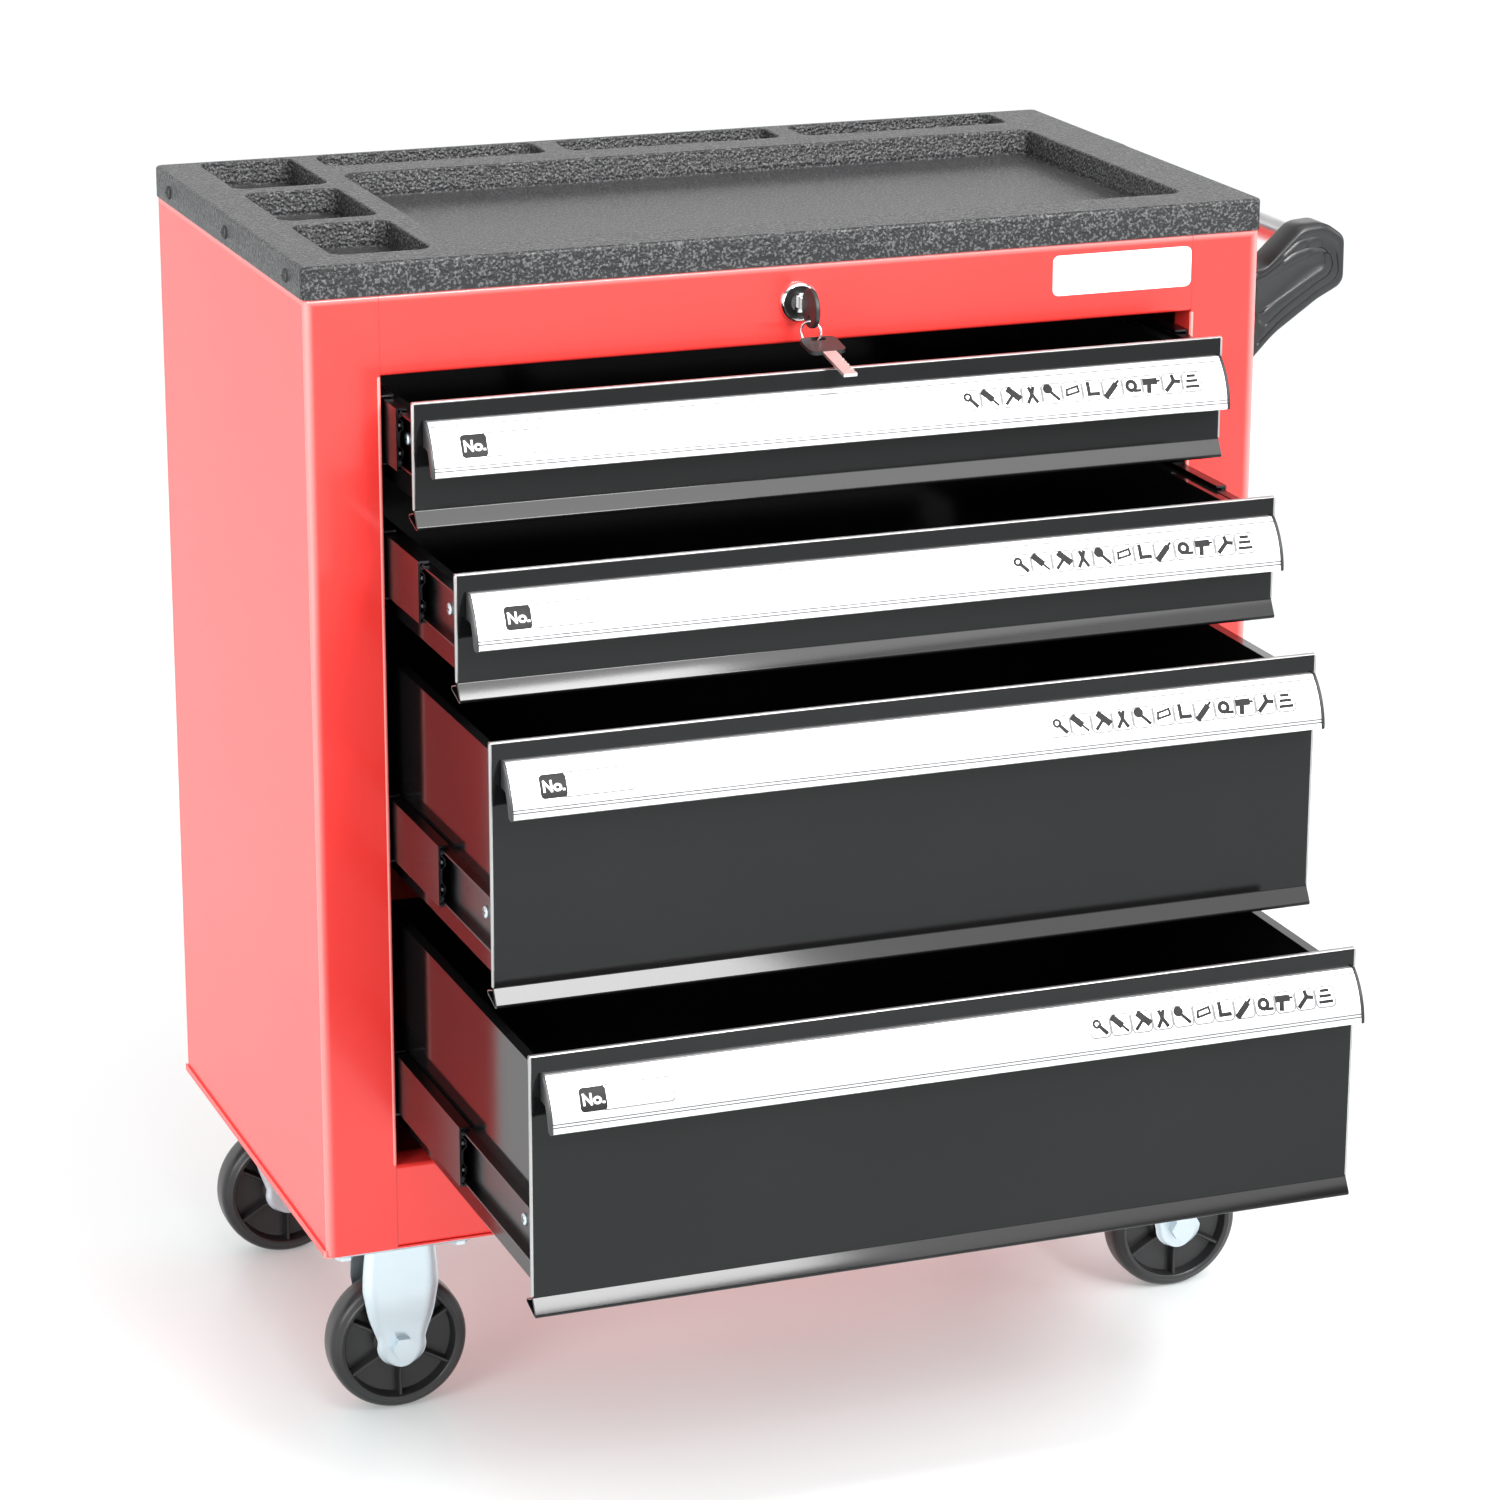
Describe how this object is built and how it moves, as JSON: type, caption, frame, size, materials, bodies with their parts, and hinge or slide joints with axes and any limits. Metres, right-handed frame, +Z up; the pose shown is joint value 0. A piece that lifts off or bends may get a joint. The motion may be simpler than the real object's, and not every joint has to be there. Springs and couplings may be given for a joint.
{
  "type": "rolling tool box",
  "caption": "Rolling steel tool box with full-width drawers on ball slides, a pocketed worktop tray, a barrel lock, a side push handle and plate casters.",
  "frame": {"origin": "bottom centre of the whole object at rest, on the floor, with the drawers open as stored", "axes": "+Z up, drawers open towards -Y, side handle on +X"},
  "size_m": [0.6802, 0.6154, 0.736],
  "materials": {
    "red_paint": "gloss powder coat",
    "drawer_paint": "gloss black powder coat",
    "slide_steel": "black electro-coat",
    "tray_plastic": "pebble-grained black ABS",
    "pull_aluminium": "satin anodised",
    "label_white": "white satin",
    "zinc_plate": "bright zinc plate",
    "wheel_nylon": "moulded, lightly worn tread",
    "bracket_plastic": "fine-grained moulding",
    "chrome_trim": "polished",
    "key_steel": "nickel plate",
    "key_plastic": "moulded",
    "dark_screw": "black oxide"
  },
  "bodies": {
    "root": {"back_panel": "red_paint", "bottom_panel": "red_paint", "bottom_rail": "red_paint", "caster_bolts": "zinc_plate", "handle_bracket_front": "bracket_plastic", "handle_bracket_rear": "bracket_plastic", "handle_tube": "chrome_trim", "kingpins": "zinc_plate", "label_plate": "label_white", "lock_body": "chrome_trim", "lock_nut": "zinc_plate", "panel_screws": "dark_screw", "rigid_axles": "zinc_plate", "rigid_front_fork": "zinc_plate", "rigid_rear_fork": "zinc_plate", "side_panel_left": "red_paint", "side_panel_right": "red_paint", "slide_outer_members": "slide_steel", "slide_uprights": "slide_steel", "swivel_front_plate": "zinc_plate", "swivel_rear_plate": "zinc_plate", "top_panel": "red_paint", "top_rail": "red_paint", "worktop_tray": "tray_plastic"},
    "drawer_1": {"drawer_1_front": "drawer_paint", "drawer_1_box": "drawer_paint", "drawer_1_pull": "pull_aluminium", "drawer_1_slide_inner": "slide_steel"},
    "drawer_1_slides": {"drawer_1_slide_mid": "slide_steel"},
    "drawer_2": {"drawer_2_front": "drawer_paint", "drawer_2_box": "drawer_paint", "drawer_2_pull": "pull_aluminium", "drawer_2_slide_inner": "slide_steel"},
    "drawer_2_slides": {"drawer_2_slide_mid": "slide_steel"},
    "drawer_3": {"drawer_3_front": "drawer_paint", "drawer_3_box": "drawer_paint", "drawer_3_pull": "pull_aluminium", "drawer_3_slide_inner": "slide_steel"},
    "drawer_3_slides": {"drawer_3_slide_mid": "slide_steel"},
    "drawer_4": {"drawer_4_front": "drawer_paint", "drawer_4_box": "drawer_paint", "drawer_4_pull": "pull_aluminium", "drawer_4_slide_inner": "slide_steel"},
    "drawer_4_slides": {"drawer_4_slide_mid": "slide_steel"},
    "rigid_front_wheel": {"rigid_front_wheel": "wheel_nylon"},
    "swivel_front": {"swivel_front_fork": "zinc_plate", "swivel_front_axle": "zinc_plate"},
    "swivel_front_wheel": {"swivel_front_wheel": "wheel_nylon"},
    "rigid_rear_wheel": {"rigid_rear_wheel": "wheel_nylon"},
    "swivel_rear": {"swivel_rear_fork": "zinc_plate", "swivel_rear_axle": "zinc_plate"},
    "swivel_rear_wheel": {"swivel_rear_wheel": "wheel_nylon"},
    "lock": {"lock_plug": "key_steel", "lock_rod": "zinc_plate"},
    "lock_bar": {"lock_bar": "zinc_plate"},
    "key": {"key_blade": "key_steel", "key_bow": "key_plastic"},
    "key_ring": {"key_ring": "chrome_trim"},
    "spare_key": {"spare_key_bow": "key_plastic", "spare_key_blade": "key_steel"}
  },
  "joints": [
    {"name": "drawer_1_slide", "type": "slide", "parent": "root", "child": "drawer_1", "axis": [0, -1, 0], "range_m": [-0.05152, 0.22848]},
    {"name": "drawer_1_slides_run", "type": "slide", "parent": "root", "child": "drawer_1_slides", "axis": [0, -1, 0], "range_m": [-0.02576, 0.11424]},
    {"name": "drawer_2_slide", "type": "slide", "parent": "root", "child": "drawer_2", "axis": [0, -1, 0], "range_m": [-0.12936, 0.15064]},
    {"name": "drawer_2_slides_run", "type": "slide", "parent": "root", "child": "drawer_2_slides", "axis": [0, -1, 0], "range_m": [-0.06468, 0.07532]},
    {"name": "drawer_3_slide", "type": "slide", "parent": "root", "child": "drawer_3", "axis": [0, -1, 0], "range_m": [-0.18928, 0.09072]},
    {"name": "drawer_3_slides_run", "type": "slide", "parent": "root", "child": "drawer_3_slides", "axis": [0, -1, 0], "range_m": [-0.09464, 0.04536]},
    {"name": "drawer_4_slide", "type": "slide", "parent": "root", "child": "drawer_4", "axis": [0, -1, 0], "range_m": [-0.25396, 0.02604]},
    {"name": "drawer_4_slides_run", "type": "slide", "parent": "root", "child": "drawer_4_slides", "axis": [0, -1, 0], "range_m": [-0.12698, 0.01302]},
    {"name": "rigid_front_spin", "type": "hinge", "parent": "root", "child": "rigid_front_wheel", "pos_m": [-0.2863, -0.00627, 0.0445], "axis": [0, 1, 0], "continuous": true},
    {"name": "swivel_front_turn", "type": "hinge", "parent": "root", "child": "swivel_front", "pos_m": [0.2257, -0.00627, 0.1145], "axis": [0, 0, 1], "continuous": true},
    {"name": "swivel_front_spin", "type": "hinge", "parent": "swivel_front", "child": "swivel_front_wheel", "pos_m": [0.2507, -0.00627, 0.0445], "axis": [0, 1, 0], "continuous": true},
    {"name": "rigid_rear_spin", "type": "hinge", "parent": "root", "child": "rigid_rear_wheel", "pos_m": [-0.2863, 0.25573, 0.0445], "axis": [0, 1, 0], "continuous": true},
    {"name": "swivel_rear_turn", "type": "hinge", "parent": "root", "child": "swivel_rear", "pos_m": [0.2257, 0.25573, 0.1145], "axis": [0, 0, 1], "continuous": true},
    {"name": "swivel_rear_spin", "type": "hinge", "parent": "swivel_rear", "child": "swivel_rear_wheel", "pos_m": [0.2507, 0.25573, 0.0445], "axis": [0, 1, 0], "continuous": true},
    {"name": "lock_turn", "type": "hinge", "parent": "root", "child": "lock", "pos_m": [-0.0303, -0.03627, 0.6933], "axis": [0, 1, 0], "range_deg": [0, 90]},
    {"name": "lock_bar_slide", "type": "slide", "parent": "root", "child": "lock_bar", "axis": [0, 0, 1], "range_m": [-0.01131, 0]},
    {"name": "key_pull", "type": "slide", "parent": "lock", "child": "key", "axis": [0, -1, 0], "range_m": [0, 0.03]},
    {"name": "key_ring_swing", "type": "hinge", "parent": "key", "child": "key_ring", "pos_m": [-0.0303, -0.05727, 0.67872], "axis": [0.7071, 0.7071, 0], "range_deg": [-20, 0]},
    {"name": "spare_key_swing", "type": "hinge", "parent": "key_ring", "child": "spare_key", "pos_m": [-0.027, -0.06057, 0.67406], "axis": [1, 0, 0], "range_deg": [-4, 0]}
  ],
  "couplings": [
    {"joint": "drawer_1_slides_run", "follows": "drawer_1_slide", "ratio": 0.5},
    {"joint": "drawer_2_slides_run", "follows": "drawer_2_slide", "ratio": 0.5},
    {"joint": "drawer_3_slides_run", "follows": "drawer_3_slide", "ratio": 0.5},
    {"joint": "drawer_4_slides_run", "follows": "drawer_4_slide", "ratio": 0.5},
    {"joint": "lock_turn", "follows": "lock_bar_slide", "rad_per_m": -138.84}
  ]
}
